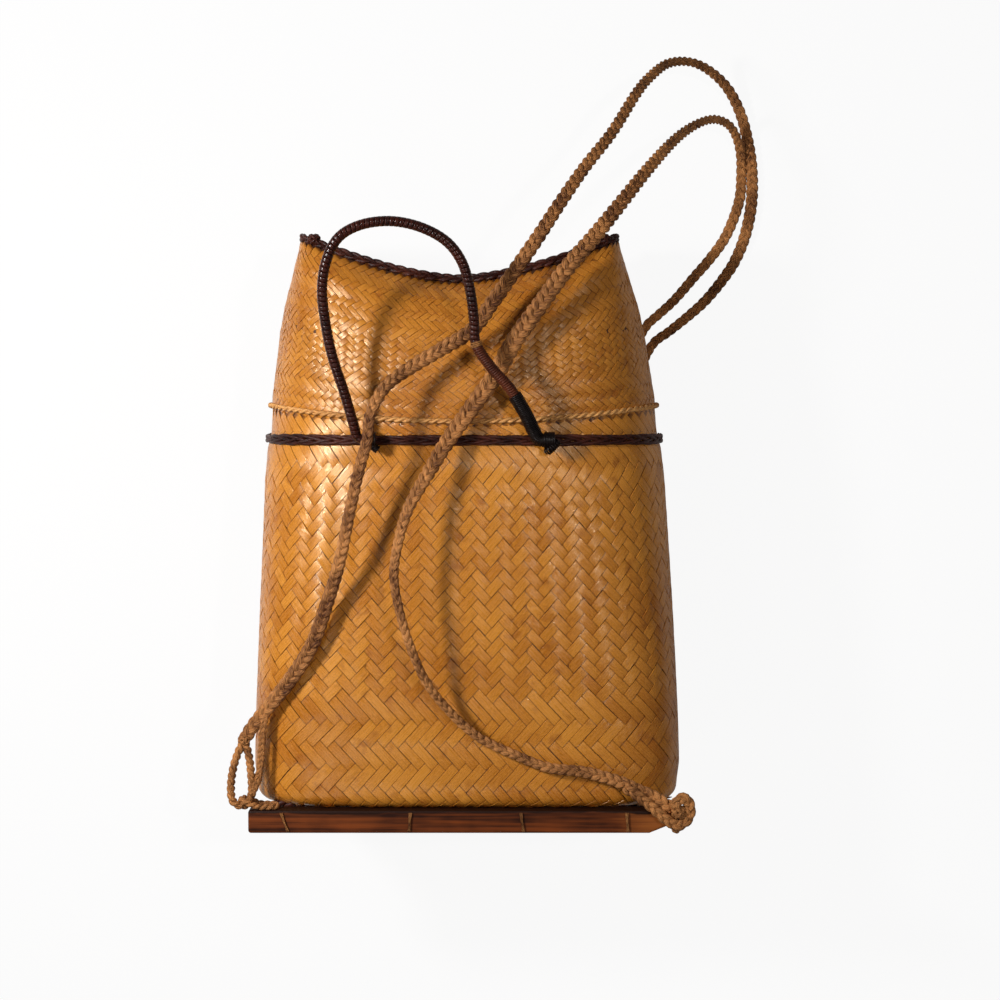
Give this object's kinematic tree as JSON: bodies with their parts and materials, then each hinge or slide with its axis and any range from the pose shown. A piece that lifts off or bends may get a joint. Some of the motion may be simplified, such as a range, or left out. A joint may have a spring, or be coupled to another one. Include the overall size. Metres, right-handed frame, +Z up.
{
  "type": "lidded pack basket",
  "caption": "Twill-plaited back basket with a lift-off trough-topped lid, wooden foot, waist band, bow handle and braided shoulder straps, lying on its back.",
  "frame": {"origin": "on the ground under the middle of the basket, which lies on its back", "axes": "+X to the right side, +Y from the wooden foot to the lid's top, +Z up, out of the basket's front"},
  "size_m": [0.3692, 0.5321, 0.2042],
  "materials": {
    "body_strips": "satin",
    "lid_strips": "satin",
    "rim_cane": "matte",
    "runner_wood": "matte",
    "slat_wood": "matte",
    "handle_cane": "satin",
    "fine_wrap_cord": "matte",
    "black_cord": "satin",
    "dark_braid": "satin",
    "strap_fibre": "matte"
  },
  "bodies": {
    "basket": {"basket_body": "body_strips", "corner_ring_left": "strap_fibre", "foot_runner_back": "runner_wood", "foot_runner_front": "runner_wood", "foot_slat_left": "slat_wood", "foot_slat_middle": "slat_wood", "foot_slat_right": "slat_wood", "handle_lashing_left": "black_cord", "handle_lashing_right": "black_cord", "neck_rim_hoop": "rim_cane", "runner_tie_back_1": "strap_fibre", "runner_tie_back_2": "strap_fibre", "runner_tie_back_3": "strap_fibre", "runner_tie_back_4": "strap_fibre", "runner_tie_front_1": "strap_fibre", "runner_tie_front_2": "strap_fibre", "runner_tie_front_3": "strap_fibre", "runner_tie_front_4": "strap_fibre", "strap_anchor_ring": "strap_fibre", "strap_left": "strap_fibre", "strap_left_eye": "strap_fibre", "strap_right": "strap_fibre", "strap_right_wrap": "strap_fibre", "waist_band": "dark_braid"},
    "lid": {"lid_knob_left_back": "dark_braid", "lid_knob_left_front": "dark_braid", "lid_knob_right_back": "dark_braid", "lid_knob_right_front": "dark_braid", "lid_rim_cord": "rim_cane", "lid_shell": "lid_strips", "lid_top_braid_back": "dark_braid", "lid_top_braid_front": "dark_braid", "lid_top_braid_left": "dark_braid", "lid_top_braid_right": "dark_braid"},
    "handle": {"handle_bow": "handle_cane", "handle_fine_wrap": "fine_wrap_cord", "handle_black_wrap": "black_cord"}
  },
  "joints": [
    {"name": "lid_slide", "type": "slide", "parent": "basket", "child": "lid", "axis": [0, 1, 0], "range_m": [0, 0.045]},
    {"name": "handle_swing", "type": "hinge", "parent": "basket", "child": "handle", "pos_m": [0, 0.05915, 0.1697], "axis": [1, 0, 0], "range_deg": [0, 140]}
  ]
}
